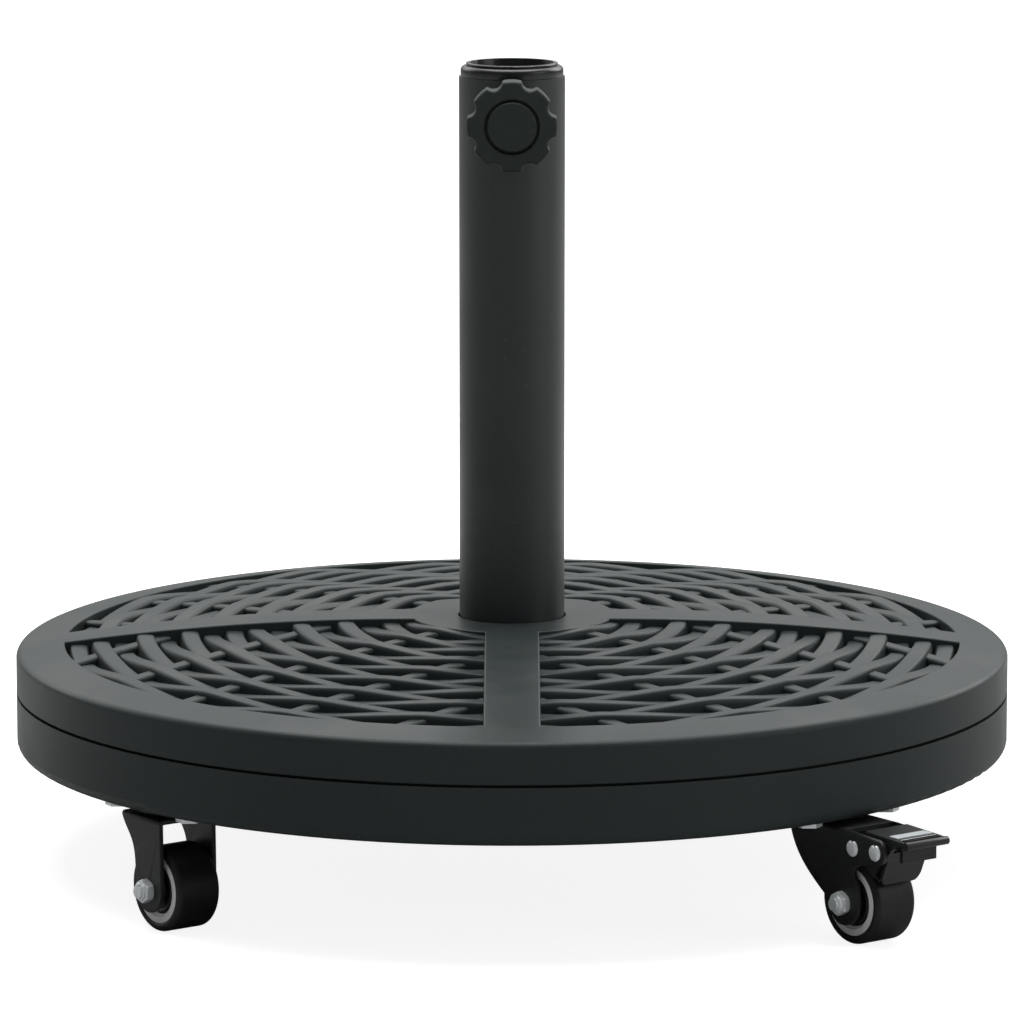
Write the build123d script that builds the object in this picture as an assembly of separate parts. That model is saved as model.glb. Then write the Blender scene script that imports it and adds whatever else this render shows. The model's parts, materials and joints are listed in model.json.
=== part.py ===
# Round umbrella stand on four swivel casters: a plastic shell with a moulded wicker top, filled
# with concrete, a steel pole tube with a reducer sleeve, and a lobed clamp knob.
# Millimetres. +Z is up, the origin is on the floor under the tube's axis, and the knob faces -Y.
import math
import os

from build123d import *

# --- base shell ---------------------------------------------------------------------------------
base_r = 240.0              # outer radius of the shell
caster_h = 60.0             # floor to the underside of the shell
tray_h = 25.0               # underside to the seam
foot_lip = 3.0              # edge that hangs below the underside
foot_lip_w = 3.8
rim_h = 20.0                # seam to the top of the rim
dome_rise = 14.6            # rim top to the flat hub
hub_r = 51.0                # where the dome turns flat
shell_t = 3.0               # wall of both shell halves
rim_edge_r = 3.5            # rounded upper edge of the rim
foot_edge_r = 5.0           # rounded lower edge of the tray
seam_gap = 1.2              # visible groove between the halves
tongue_t = 2.4              # tray's upstand inside the cover
tongue_h = 6.0              # how far the upstand passes the seam
tongue_gap = 0.3            # upstand to the cover's wall
fill_gap = 0.3              # concrete to the plastic round it
pass_gap = 0.5              # hole in the cover round the tube

# --- wicker pattern -----------------------------------------------------------------------------
border_w = 23.5             # plain rim round the wicker
spoke_w = 26.0              # the four plain spokes
hub_edge = 2.0              # the wicker starts this far inside the dome's flat
recess_d = 9.0              # depth of the wicker field
ring_count = 16             # woven rings
ring_pitch = 10.7
ring_margin = 6.9           # border to the middle of the outer ring
ribbon_w = 9.4              # width of a woven ribbon
wave_drop = 3.2             # mean level of a ribbon below the dome
wave_h = 2.3                # rise and fall of a ribbon
stake_pitch = 55.0          # distance between the straight stakes
stake_r = 4.0
stake_drop = 4.0            # top of a stake below the dome
bury = 1.0                  # how far fused pieces reach into each other

# --- pole tube and its fixing -------------------------------------------------------------------
tube_r = 25.4
tube_wall = 1.2
tube_lift = 17.0            # shell's underside to the tube's foot
tube_rise = 261.4           # shell's top to the tube's upper end
socket_t = 2.5              # steel cup that holds the tube in the concrete
socket_gap = 0.15
plug_h = 16.0               # threaded plug in the tube's foot
fit_gap = 0.05              # running and pressed round fits
base_bolt_r = 5.0
base_bolt_af = 16.0
base_bolt_head = 6.4
washer_r = 15.0
washer_t = 2.5

# --- reducer sleeve -----------------------------------------------------------------------------
sleeve_bore_r = 19.9        # takes a 38 mm umbrella pole
sleeve_len = 60.0           # skirt inside the tube
sleeve_gap = 0.1
cap_r = 24.6                # collar that sits on the tube
cap_h = 5.2
neck_r = 21.6               # groove between the collar and the bead
neck_h = 0.4
bead_r = 22.0
bead_h = 1.0
slot_w = 10.0               # opening in the skirt for the clamp screw

# --- clamp knob ---------------------------------------------------------------------------------
knob_drop = 25.2            # top of the sleeve to the knob's axis
boss_r = 8.5
boss_len = 7.0
screw_r = 4.0
screw_travel = 5.0          # full travel of the clamp screw
screw_rest = 6.4            # knob to boss with the screw backed out
knob_r = 21.4
knob_t = 13.0
knob_lobes = 8
notch_r = 4.2               # scallops between the lobes
notch_depth = 2.7
knob_edge_r = 2.6
knob_hub_r = 9.5
knob_hub_len = 5.0
knob_cap_r = 11.7
knob_cap_proud = 1.0
cap_groove = 1.3
knob_cap_t = 2.6
pad_r = 3.3
pad_t = 3.0
pad_rest_gap = 0.6          # pad's face outside the sleeve's bore at rest
spigot_r = 1.5
spigot_len = 2.0

# --- casters ------------------------------------------------------------------------------------
caster_inset = 21.5         # swivel axes inside the shell's edge
caster_phase = 2.0          # turn of the four casters from the diagonals
caster_yaw = -53.0          # direction in which the wheels trail at rest
plain_trail = 7.0
brake_trail = 25.0
plate_len = 66.0
plate_w = 32.0
plate_t = 2.0
plate_hole_pitch = 51.0     # bolt holes along the plate
plate_hole_depth = 16.0     # bolt holes across the plate
plate_bolt_r = 4.0
plate_bolt_af = 11.0
plate_bolt_head = 3.4
plate_bolt_len = 24.0
insert_wall = 2.0
ball_r = 1.75
ball_ring_r = 10.5
ball_count = 10
race_gap = 0.2              # ball to the plates above and below
race_wall = 1.2
race_clear = 0.8            # race skirt to the fork
kingpin_r = 4.0
kingpin_head_r = 7.0
kingpin_head_h = 2.2
head_gap = 0.3
fork_t = 2.2
fork_inner_w = 27.0
fork_end_r = 10.5           # rounded foot of the leg round the axle
fork_bend = 2.0             # rounded edge between the crown and the legs
leg_back = -15.0            # plain leg under the crown, along the trail
leg_front = 17.0
leg_waist = (-3.1, 22.0)    # bow of its back edge, from the back of its foot
wing_back = -14.0           # braked leg under the crown
wing_bow = [(-19.5, 15.5), (-6.5, 4.5)]  # its back edge, from the back of its foot
nose_r = 6.2                # rounded end of the wing about the pivot pin
nose_from = -70.0           # degrees from level, up its front
nose_to = 75.0
wing_knee = (-3.2, 16.0)    # bow of the wing's lower edge, from the front of its foot
crown_end = 3.0             # stop pin to the end of the crown's top edge
crown_gap = 4.0             # stop pin to the crown's front

# --- wheels -------------------------------------------------------------------------------------
wheel_r = 20.0
wheel_w = 23.0
tread_edge_r = 2.5
core_r = 14.5
core_lip = 3.7              # light ring seen on the wheel's face
core_groove = 1.2
core_inset = 0.5
web_t = 6.0
wheel_hub_r = 8.4
wheel_gap = 0.5             # wheel hub to the fork's legs
bush_wall = 1.0
axle_r = 3.0
axle_gap = 0.1
axle_head_af = 10.0
axle_head_h = 4.0
axle_nut_h = 5.2
axle_nut_af = 10.0
axle_tail = 1.0

# --- brakes -------------------------------------------------------------------------------------
pin_r = 2.5
pin_head_r = 3.8
pin_head_h = 1.4
stop_lead = 6.7             # pins forward of the axle
pivot_lead = 22.5
stop_drop = 7.6             # pins below the crown's top
pivot_drop = 7.0
shoe_gap = 2.0              # shoe to the tread with the brake off
shoe_t = 2.2
shoe_w = 23.0
shoe_corner_r = 5.5
shoe_from = 28.0            # degrees round the wheel from level
shoe_to = 66.0
cheek_t = 2.2
cheek_gap = 0.6             # cheek to the fork's leg
cheek_r = 5.6
cheek_root = 12.0           # degrees that the cheeks stay inside the shoe's ends
root_sink = 0.6             # how far they reach into the shoe
arm_start = 1.0             # arm's back edge inside the cheek
arm_short = 9.0             # arm's end to the pedal's tip
bridge_t = 1.6
pedal_lead = 11.5           # pedal's back end forward of the axle
pedal_len = 30.0
pedal_rise = 0.9            # pedal's top above the crown's
pedal_fall = 1.2            # how far the pedal slopes down to its tip
pedal_t = 2.6
pedal_w = 25.0
tip_r = 1.9
tip_lift = 0.5              # tip bar above the pedal's top
lip_h = 8.0
lip_t = 2.2
lip_w = 20.0
lip_back = 8.5              # lip to the pedal's tip
grip_inset = 14.5           # pedal's back end to the grip
grip_len = 6.0
grip_w = 21.0
grip_t = 0.9
grip_proud = 0.5
rib_w = 0.9
rib_h = 0.5
rib_pitch = 1.9
rib_count = 3

# --- worked out ---------------------------------------------------------------------------------
seam_z = caster_h + tray_h
rim_z = seam_z + rim_h
hub_z = rim_z + dome_rise
dome_end_r = base_r - rim_edge_r
dome_arc_r = ((dome_end_r - hub_r) ** 2 + dome_rise ** 2) / (2 * dome_rise)
weave_in_r = hub_r - hub_edge
weave_out_r = base_r - border_w
cover_in_r = base_r - shell_t
tongue_r = cover_in_r - tongue_gap
fill_drop = recess_d + shell_t + fill_gap
tube_in_r = tube_r - tube_wall
tube_foot = caster_h + tube_lift
tube_top = hub_z + tube_rise
socket_r = tube_r + socket_gap + socket_t
socket_z = tube_foot - socket_t
cap_z = tube_top
sleeve_top = cap_z + cap_h + neck_h + bead_h
knob_z = sleeve_top - knob_drop
boss_y = -tube_r - boss_len
knob_back_y = boss_y - screw_rest
knob_body_y = knob_back_y - knob_hub_len
knob_face_y = knob_body_y - knob_t
pad_tip_y = -sleeve_bore_r - pad_rest_gap
screw_tip_y = pad_tip_y - pad_t
plate_z = caster_h - plate_t
crown_top = plate_z - 2 * (ball_r + race_gap / 2)
crown_low = crown_top - fork_t
fork_w = fork_inner_w + 2 * fork_t
bush_r = axle_r + axle_gap + bush_wall
wheel_hub_w = fork_inner_w - 2 * wheel_gap
caster_ring_r = base_r - caster_inset
stop_pin = (brake_trail + stop_lead, crown_top - stop_drop)
pivot_pin = (brake_trail + pivot_lead, crown_top - pivot_drop)
pedal_start = brake_trail + pedal_lead
pedal_end = pedal_start + pedal_len
pedal_top = crown_top + pedal_rise
grip_from = pedal_start + grip_inset

caster_names = ["front_left", "front_right", "rear_right", "rear_left"]
caster_brakes = [False, True, False, True]


# --- helpers ------------------------------------------------------------------------------------
def rod(radius, low, high, x=0.0, y=0.0):
    """Upright cylinder."""
    return Pos(x, y, low) * Cylinder(radius, high - low, align=(Align.CENTER, Align.CENTER, Align.MIN))


def cross_rod(radius, y_from, y_to, x, z):
    """Cylinder along Y."""
    low = min(y_from, y_to)
    body = Cylinder(radius, abs(y_to - y_from), align=(Align.CENTER, Align.CENTER, Align.MIN))
    return Pos(x, low, z) * Rot(-90, 0, 0) * body


def hexagon(across_flats, low, high, x=0.0, y=0.0):
    """Upright hexagonal prism."""
    outline = RegularPolygon(across_flats / math.sqrt(3), 6)
    return Pos(x, y, low) * extrude(outline, high - low)


def cross_hexagon(across_flats, y_from, y_to, x, z):
    """Hexagonal prism along Y."""
    low = min(y_from, y_to)
    outline = RegularPolygon(across_flats / math.sqrt(3), 6)
    return Pos(x, low, z) * Rot(-90, 0, 0) * extrude(outline, abs(y_to - y_from))


def box(x, y, z):
    """Box between two corners, each given as a pair of limits per axis."""
    size = [x[1] - x[0], y[1] - y[0], z[1] - z[0]]
    return Pos(x[0], y[0], z[0]) * Box(*size, align=(Align.MIN, Align.MIN, Align.MIN))


def turned(points):
    """Solid of revolution about Z from (radius, height) points."""
    outline = Polyline(*[(r, 0, z) for r, z in points], close=True)
    return revolve(make_face(outline), Axis.Z)


def side_plate(outline, y_from, y_to):
    """Plate with an outline in X and Z, between two places along Y."""
    face = make_face(outline)
    plate = extrude(face, y_to - y_from, dir=(0, 1, 0))
    return Pos(0, y_from, 0) * plate


def round_edges(body, radius):
    """Full circles of one radius on a body, lowest first."""
    circles = body.edges().filter_by(GeomType.CIRCLE)
    return circles.filter_by(lambda edge: abs(edge.radius - radius) < 0.01).sort_by(Axis.Z)


def save(shape, node):
    """Writes one node's file."""
    export_step(shape, f"parts/{node}.step")


# --- base shell ---------------------------------------------------------------------------------
def dome_z(radius):
    """Height of the shell's top at a radius."""
    if radius <= hub_r:
        return hub_z
    return hub_z - dome_arc_r + math.sqrt(dome_arc_r ** 2 - (radius - hub_r) ** 2)


def dome_body(radius, drop, low):
    """Solid under the dome, lowered by drop, out to a radius and down to low."""
    middle = (hub_r + radius) / 2
    edges = [
        Line((0, 0, low), (radius, 0, low)),
        Line((radius, 0, low), (radius, 0, dome_z(radius) - drop)),
        ThreePointArc(
            (radius, 0, dome_z(radius) - drop),
            (middle, 0, dome_z(middle) - drop),
            (hub_r, 0, hub_z - drop),
        ),
        Line((hub_r, 0, hub_z - drop), (0, 0, hub_z - drop)),
        Line((0, 0, hub_z - drop), (0, 0, low)),
    ]
    return revolve(make_face(edges), Axis.Z)


def weave_field(low, high):
    """The four sectors between the spokes, as one upright prism each."""
    ring = rod(weave_out_r, low, high) - rod(weave_in_r, low, high)
    reach = base_r + bury
    half = spoke_w / 2
    ring -= box((-reach, reach), (-half, half), (low, high))
    ring -= box((-half, half), (-reach, reach), (low, high))
    return ring


def woven_ring(ring, drop, region):
    """One ring of the wicker inside a region, with its top this far below the dome."""
    radius = weave_out_r - ring_margin - ring * ring_pitch
    inner = max(radius - ribbon_w / 2, weave_in_r - bury)
    outer = radius + ribbon_w / 2
    floor = dome_z(outer) - recess_d - bury
    section = [(inner, floor), (outer, floor), (outer, dome_z(outer) - drop), (inner, dome_z(inner) - drop)]
    return turned(section) & region


def stake_offsets():
    """Places of the stakes on either side of the sector's diagonal."""
    reach = int(weave_out_r / stake_pitch)
    offsets = [step * stake_pitch for step in range(-reach, reach + 1)]
    return [offset for offset in offsets if abs(offset) * math.sqrt(2) < weave_out_r - stake_pitch]


def strip(offset, width, low, high):
    """Upright slab along the first sector's diagonal."""
    body = box((0, base_r + bury), (offset - width / 2, offset + width / 2), (low, high))
    return Rot(0, 0, 45) * body


def stake(offset, region):
    """One straight stake of the first sector, which follows the dome."""
    low = rim_z - 2 * recess_d
    return strip(offset, 2 * stake_r, low, hub_z) & region & dome_body(base_r, stake_drop, low)


def quarter_weave():
    """The woven field of the first sector: rings that pass over every second stake."""
    low, high = rim_z - 2 * recess_d, hub_z + bury
    half = spoke_w / 2 - bury
    reach = base_r + bury
    field = box((half, reach), (half, reach), (low, high))
    offsets = stake_offsets()
    over = []
    for parity in (0, 1):
        strips = [
            strip(offset, stake_pitch, low, high)
            for step, offset in enumerate(offsets) if step % 2 == parity
        ]
        over.append(Part() + strips & field)
    pieces = []
    for ring in range(ring_count):
        crest = wave_drop - wave_h
        trough = wave_drop + wave_h
        pieces.append(woven_ring(ring, trough, field))
        pieces.append(woven_ring(ring, crest, over[1 - ring % 2]))
    limit = rod(weave_out_r + bury, low, high) - rod(weave_in_r - bury, low, high)
    pieces += [stake(offset, field & limit) for offset in offsets]
    return pieces[0].fuse(*pieces[1:])


def top_cover():
    low = seam_z + seam_gap / 2
    cover = dome_body(base_r, 0.0, low)
    cover = fillet(round_edges(cover, base_r)[-1], rim_edge_r)
    cover -= dome_body(cover_in_r, recess_d + shell_t, low - bury)
    sectors = weave_field(rim_z - recess_d * 2, hub_z + bury)
    cover -= sectors - dome_body(base_r, recess_d, rim_z - recess_d * 3)
    weave = quarter_weave()
    cover = cover.fuse(*[Rot(0, 0, 90 * quarter) * weave for quarter in range(4)])
    cover -= dome_body(cover_in_r, recess_d + shell_t, low - bury)
    return cover - rod(tube_r + pass_gap, seam_z, hub_z + bury)


def plate_holes():
    """The four bolt holes of a caster plate, from its middle."""
    along, across = plate_hole_pitch / 2, plate_hole_depth / 2
    return [(x, y) for x in (-along, along) for y in (-across, across)]


def bolt_places():
    """Places of the caster bolts in the shell's underside."""
    places = []
    for index in range(4):
        x, y, turn = caster_place(index)
        for along, across in plate_holes():
            bolt_x = x + along * math.cos(turn) - across * math.sin(turn)
            bolt_y = y + along * math.sin(turn) + across * math.cos(turn)
            places.append((bolt_x, bolt_y))
    return places


def bottom_tray():
    tray_in_r = tongue_r - tongue_t
    low = caster_h
    seam_low = seam_z - seam_gap / 2
    body = rod(base_r, low - foot_lip, seam_low)
    body = fillet(round_edges(body, base_r)[0], foot_edge_r)
    body -= rod(base_r - foot_lip_w, low - foot_lip, low)
    body += rod(tongue_r, low + shell_t, seam_z + tongue_h)
    body -= rod(tray_in_r, low + shell_t, seam_z + tongue_h)
    body -= rod(base_bolt_r + fill_gap, low, low + shell_t)
    for x, y in bolt_places():
        body -= rod(plate_bolt_r + fill_gap, low, low + shell_t, x, y)
    return body


def concrete_ballast():
    low = caster_h + shell_t + fill_gap
    fill_r = tongue_r - tongue_t - fill_gap
    body = dome_body(fill_r, fill_drop, low)
    body -= rod(socket_r + fill_gap, socket_z - fill_gap, hub_z)
    body -= rod(base_bolt_r + fill_gap, low, socket_z)
    for x, y in bolt_places():
        body -= rod(plate_bolt_r + insert_wall + fill_gap, low, low + plate_bolt_len, x, y)
    return body


# --- pole tube ----------------------------------------------------------------------------------
def tube_socket():
    top = hub_z - fill_drop
    body = rod(socket_r, socket_z, top) - rod(tube_r + socket_gap, tube_foot, top)
    return body - rod(base_bolt_r + fill_gap, socket_z, tube_foot)


def pole_tube():
    body = rod(tube_r, tube_foot, tube_top) - rod(tube_in_r, tube_foot, tube_top)
    return body - cross_rod(screw_r + fill_gap, -tube_r - bury, 0, 0, knob_z)


def tube_plug():
    body = rod(tube_in_r - fit_gap, tube_foot, tube_foot + plug_h)
    return body - rod(base_bolt_r, tube_foot, tube_foot + plug_h)


def base_washer():
    low = caster_h - washer_t
    return rod(washer_r, low, caster_h) - rod(base_bolt_r + fill_gap, low, caster_h)


def base_bolt():
    top = caster_h - washer_t
    shank = rod(base_bolt_r - fit_gap, top, tube_foot + plug_h)
    return shank + hexagon(base_bolt_af, top - base_bolt_head, top)


def reducer_sleeve():
    skirt_r = tube_in_r - sleeve_gap
    body = rod(skirt_r, cap_z - sleeve_len, cap_z)
    collar = rod(cap_r, cap_z, cap_z + cap_h)
    upper = collar.edges().filter_by(GeomType.CIRCLE).sort_by(Axis.Z)[-1]
    body += fillet(upper, cap_h * 0.4)
    body += rod(neck_r, cap_z + cap_h, sleeve_top)
    bead = rod(bead_r, sleeve_top - bead_h, sleeve_top)
    body += fillet(bead.edges().filter_by(GeomType.CIRCLE), bead_h * 0.45)
    body -= rod(sleeve_bore_r, cap_z - sleeve_len, sleeve_top)
    half = slot_w / 2
    body -= cross_rod(half, -tube_r, 0, 0, knob_z)
    return body - box((-half, half), (-tube_r, 0), (cap_z - sleeve_len, knob_z))


# --- clamp knob ---------------------------------------------------------------------------------
def clamp_boss():
    body = cross_rod(boss_r, boss_y, 0, 0, knob_z) - rod(tube_r, tube_foot, tube_top)
    return body - cross_rod(screw_r, boss_y, 0, 0, knob_z)


def knob_grip():
    body = cross_rod(knob_r, knob_face_y, knob_body_y, 0, knob_z)
    for lobe in range(knob_lobes):
        turn = math.radians((lobe + 0.5) * 360 / knob_lobes)
        reach = knob_r + notch_r - notch_depth
        x = reach * math.sin(turn)
        z = knob_z + reach * math.cos(turn)
        body -= cross_rod(notch_r, knob_face_y, knob_body_y, x, z)
    front = body.faces().sort_by(Axis.Y)[0]
    body = fillet(front.edges(), knob_edge_r)
    body += cross_rod(knob_hub_r, knob_body_y, knob_back_y, 0, knob_z)
    pocket = knob_cap_r + cap_groove
    body -= cross_rod(pocket, knob_face_y, knob_face_y + knob_cap_t, 0, knob_z)
    return body - cross_rod(screw_r, knob_face_y, knob_back_y, 0, knob_z)


def knob_cap():
    face = knob_face_y - knob_cap_proud
    disc = cross_rod(knob_cap_r, face, knob_face_y + knob_cap_t, 0, knob_z)
    rim = disc.edges().filter_by(GeomType.CIRCLE).sort_by(Axis.Y)[0]
    return fillet(rim, knob_cap_proud * 0.8)


def knob_screw():
    body = cross_rod(screw_r - fit_gap, knob_face_y + knob_cap_t, screw_tip_y, 0, knob_z)
    return body - cross_rod(spigot_r + fit_gap, screw_tip_y - spigot_len - fit_gap, screw_tip_y, 0, knob_z)


def screw_pad():
    body = cross_rod(pad_r, screw_tip_y + fit_gap, pad_tip_y, 0, knob_z)
    return body + cross_rod(spigot_r, screw_tip_y - spigot_len, screw_tip_y + pad_t / 2, 0, knob_z)


# --- casters ------------------------------------------------------------------------------------
def caster_place(index):
    """Swivel axis of one caster and the direction of its plate."""
    turn = math.radians(-135 - caster_phase + 90 * index)
    x = caster_ring_r * math.cos(turn)
    y = caster_ring_r * math.sin(turn)
    return x, y, turn + math.pi / 2


def trail_of(index):
    return brake_trail if caster_brakes[index] else plain_trail


def put_caster(index, shape):
    """Moves a piece made at the origin with its wheel trailing along +X."""
    x, y, _ = caster_place(index)
    return Pos(x, y, 0) * Rot(0, 0, caster_yaw) * shape


def caster_plate(index):
    x, y, turn = caster_place(index)
    outline = RectangleRounded(plate_len, plate_w, (plate_w - plate_hole_depth) / 2)
    body = Pos(0, 0, plate_z) * extrude(outline, plate_t)
    skirt_low = crown_top + race_clear
    skirt_in_r = ball_ring_r + ball_r + race_gap
    body += rod(skirt_in_r + race_wall, skirt_low, plate_z) - rod(skirt_in_r, skirt_low, plate_z)
    body -= rod(kingpin_r, skirt_low, caster_h)
    for along, across in plate_holes():
        body -= rod(plate_bolt_r + fill_gap, plate_z, caster_h, along, across)
    return Pos(x, y, 0) * Rot(0, 0, math.degrees(turn)) * body


def kingpin(index):
    x, y, _ = caster_place(index)
    top = crown_low - head_gap
    return rod(kingpin_r, top, caster_h, x, y) + rod(kingpin_head_r, top - kingpin_head_h, top, x, y)


def swivel_balls():
    balls = []
    for index in range(4):
        x, y, turn = caster_place(index)
        for step in range(ball_count):
            angle = turn + step * 2 * math.pi / ball_count
            place = (x + ball_ring_r * math.cos(angle), y + ball_ring_r * math.sin(angle))
            balls.append(Pos(*place, (plate_z + crown_top) / 2) * Sphere(ball_r))
    return Compound(balls)


def plate_bolts():
    bolts = []
    for x, y in bolt_places():
        shank = rod(plate_bolt_r - fit_gap, plate_z, caster_h + shell_t + plate_bolt_len * 0.8, x, y)
        bolts.append(shank + hexagon(plate_bolt_af, plate_z - plate_bolt_head, plate_z, x, y))
    return Compound(bolts)


def thread_inserts():
    low = caster_h + shell_t + fill_gap
    inserts = []
    for x, y in bolt_places():
        sleeve = rod(plate_bolt_r + insert_wall, low, low + plate_bolt_len - fill_gap, x, y)
        inserts.append(sleeve - rod(plate_bolt_r, low, low + plate_bolt_len - fill_gap, x, y))
    return Compound(inserts)


def plain_leg(trail):
    """Side outline of a plain fork: wide under the crown, round at the axle."""
    back_low = (trail - fork_end_r, wheel_r)
    front_low = (trail + fork_end_r, wheel_r)
    waist = (back_low[0] + leg_waist[0], back_low[1] + leg_waist[1])
    back_top = (leg_back, crown_top)
    front_top = (leg_front, crown_top)
    return [
        Spline(*xz([back_top, waist, back_low]), tangents=((0.35, 0, -1), (0, 0, -1))),
        ThreePointArc(*xz([back_low, (trail, wheel_r - fork_end_r), front_low])),
        Line(*xz([front_low, front_top])),
        Line(*xz([front_top, back_top])),
    ]


def nose_point(degrees):
    """Point on the wing's rounded end."""
    angle = math.radians(degrees)
    return pivot_pin[0] + nose_r * math.cos(angle), pivot_pin[1] + nose_r * math.sin(angle)


def brake_leg(trail):
    """Side outline of a braked fork, with a wing forward that carries the two pins."""
    back_low = (trail - fork_end_r, wheel_r)
    front_low = (trail + fork_end_r, wheel_r)
    back_top = (wing_back, crown_top)
    bow = [(back_low[0] + x, back_low[1] + z) for x, z in wing_bow]
    nose = [nose_point(angle) for angle in (nose_from, 0, nose_to)]
    front_top = (stop_pin[0] - crown_end, crown_top)
    knee = (front_low[0] + wing_knee[0], front_low[1] + wing_knee[1])
    return [
        Spline(*xz([back_top, *bow, back_low])),
        ThreePointArc(*xz([back_low, (trail, wheel_r - fork_end_r), front_low])),
        Spline(*xz([front_low, knee, nose[0]]), tangents=((0, 0, 1), (1, 0, 0))),
        ThreePointArc(*xz(nose)),
        Line(*xz([nose[-1], front_top])),
        Line(*xz([front_top, back_top])),
    ]


def xz(points):
    """Points given along the trail and up, as points in space."""
    return [(x, 0, z) for x, z in points]


def fork(index):
    trail = trail_of(index)
    braked = caster_brakes[index]
    outline = brake_leg(trail) if braked else plain_leg(trail)
    body = side_plate(outline, -fork_w / 2, fork_w / 2)
    inner = fork_inner_w / 2
    reach = 4 * wheel_r
    body -= box((-reach, reach), (-inner, inner), (-bury, crown_low))
    tops = body.edges().filter_by(Axis.X).group_by(Axis.Z)[-1].sort_by(Axis.Y)
    body = fillet([tops[0], tops[-1]], fork_bend)
    if braked:
        front = stop_pin[0] - pin_r - crown_gap
        body -= box((front, reach), (-inner, inner), (crown_low - bury, crown_top + bury))
        for x, z in (stop_pin, pivot_pin):
            body -= cross_rod(pin_r, -fork_w, fork_w, x, z)
    body -= rod(kingpin_r + fit_gap, crown_low, crown_top)
    body -= cross_rod(axle_r + axle_gap, -fork_w, fork_w, trail, wheel_r)
    return put_caster(index, body)


# --- wheels -------------------------------------------------------------------------------------
def tyre(index):
    half = wheel_w / 2
    x = trail_of(index)
    body = cross_rod(wheel_r, -half, half, x, wheel_r)
    body = fillet(body.edges().filter_by(GeomType.CIRCLE), tread_edge_r)
    return put_caster(index, body - cross_rod(core_r, -half, half, x, wheel_r))


def wheel_core(index):
    x = trail_of(index)
    half = wheel_w / 2 - core_inset
    pocket_r = core_r - core_lip
    ring_r = pocket_r - core_groove
    body = cross_rod(core_r, -half, half, x, wheel_r)
    for side in (-1, 1):
        cut = cross_rod(pocket_r, side * web_t / 2, side * half, x, wheel_r)
        cut -= cross_rod(ring_r, side * web_t / 2, side * half, x, wheel_r)
        body -= cut
    body += cross_rod(wheel_hub_r, -wheel_hub_w / 2, wheel_hub_w / 2, x, wheel_r)
    body -= cross_rod(bush_r + fit_gap, -wheel_hub_w / 2, wheel_hub_w / 2, x, wheel_r)
    return put_caster(index, body)


def axle_bush(index):
    half = fork_inner_w / 2
    x = trail_of(index)
    body = cross_rod(bush_r, -half, half, x, wheel_r)
    return put_caster(index, body - cross_rod(axle_r + axle_gap, -half, half, x, wheel_r))


def axle_bolt(index):
    x = trail_of(index)
    outer = fork_w / 2
    body = cross_rod(axle_r, -outer - axle_nut_h - axle_tail, outer, x, wheel_r)
    body += cross_hexagon(axle_head_af, outer, outer + axle_head_h, x, wheel_r)
    return put_caster(index, body)


def axle_nut(index):
    x = trail_of(index)
    outer = fork_w / 2
    body = cross_hexagon(axle_nut_af, -outer - axle_nut_h, -outer, x, wheel_r)
    return put_caster(index, body - cross_rod(axle_r, -outer - axle_nut_h, -outer, x, wheel_r))


# --- brakes -------------------------------------------------------------------------------------
def pedal_z(x):
    """Height of the pedal's top, which slopes to its tip."""
    return pedal_top - pedal_fall * (x - pedal_start) / (pedal_end - pedal_start)


def shoe_point(radius, degrees):
    angle = math.radians(degrees)
    return brake_trail + radius * math.cos(angle), wheel_r + radius * math.sin(angle)


def shoe_front():
    """Front outline of the shoe with rounded lower corners, as one long prism."""
    low = shoe_point(wheel_r + shoe_gap, shoe_from)[1]
    height = 2 * (pivot_pin[1] - low)
    outline = Rot(0, 90, 0) * RectangleRounded(height, shoe_w, shoe_corner_r)
    return extrude(Pos(brake_trail, 0, low + height / 2) * outline, 2 * pedal_end, both=True)


def pedal_plate():
    """The pedal's sloping plate."""
    end = pedal_end - tip_r
    outline = [
        (pedal_start, pedal_z(pedal_start)),
        (end, pedal_z(end)),
        (end, pedal_z(end) - pedal_t),
        (pedal_start, pedal_z(pedal_start) - pedal_t),
    ]
    return side_plate(Polyline(*xz(outline), close=True), -pedal_w / 2, pedal_w / 2)


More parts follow.
